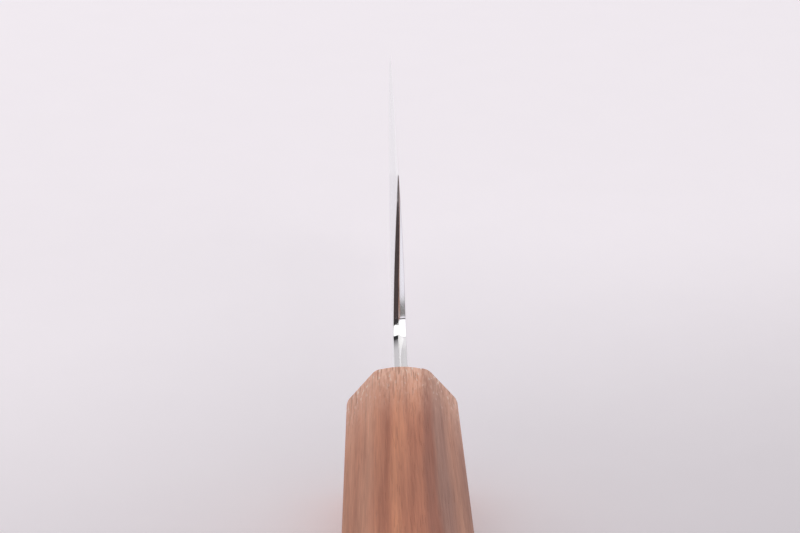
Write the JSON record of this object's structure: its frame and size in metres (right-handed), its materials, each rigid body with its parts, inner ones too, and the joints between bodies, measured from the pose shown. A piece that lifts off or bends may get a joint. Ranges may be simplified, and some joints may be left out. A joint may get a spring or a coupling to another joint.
{
  "type": "bunka knife",
  "caption": "Kitchen knife with a laminated, clipped-point blade ground thin to the edge, its hidden tang held in an octagonal wooden handle.",
  "frame": {"origin": "centre of the bounding box's bottom, on the plane of the handle's lowest facet", "axes": "+X from the butt of the handle to the tip of the blade, +Z from the spine to the cutting edge, +Y to the left of someone who looks from the butt to the tip"},
  "size_m": [0.3174, 0.0226, 0.0553],
  "materials": {
    "core_steel": "polished",
    "cladding_steel": "satin",
    "walnut": "oiled",
    "resin": "dark resin",
    "dowel_wood": "unfinished"
  },
  "bodies": {
    "root": {"core_steel": "core_steel", "cladding_left": "cladding_steel", "cladding_right": "cladding_steel", "handle": "walnut", "mouth_seal": "resin", "dowel_left": "dowel_wood", "dowel_right": "dowel_wood"}
  },
  "joints": []
}
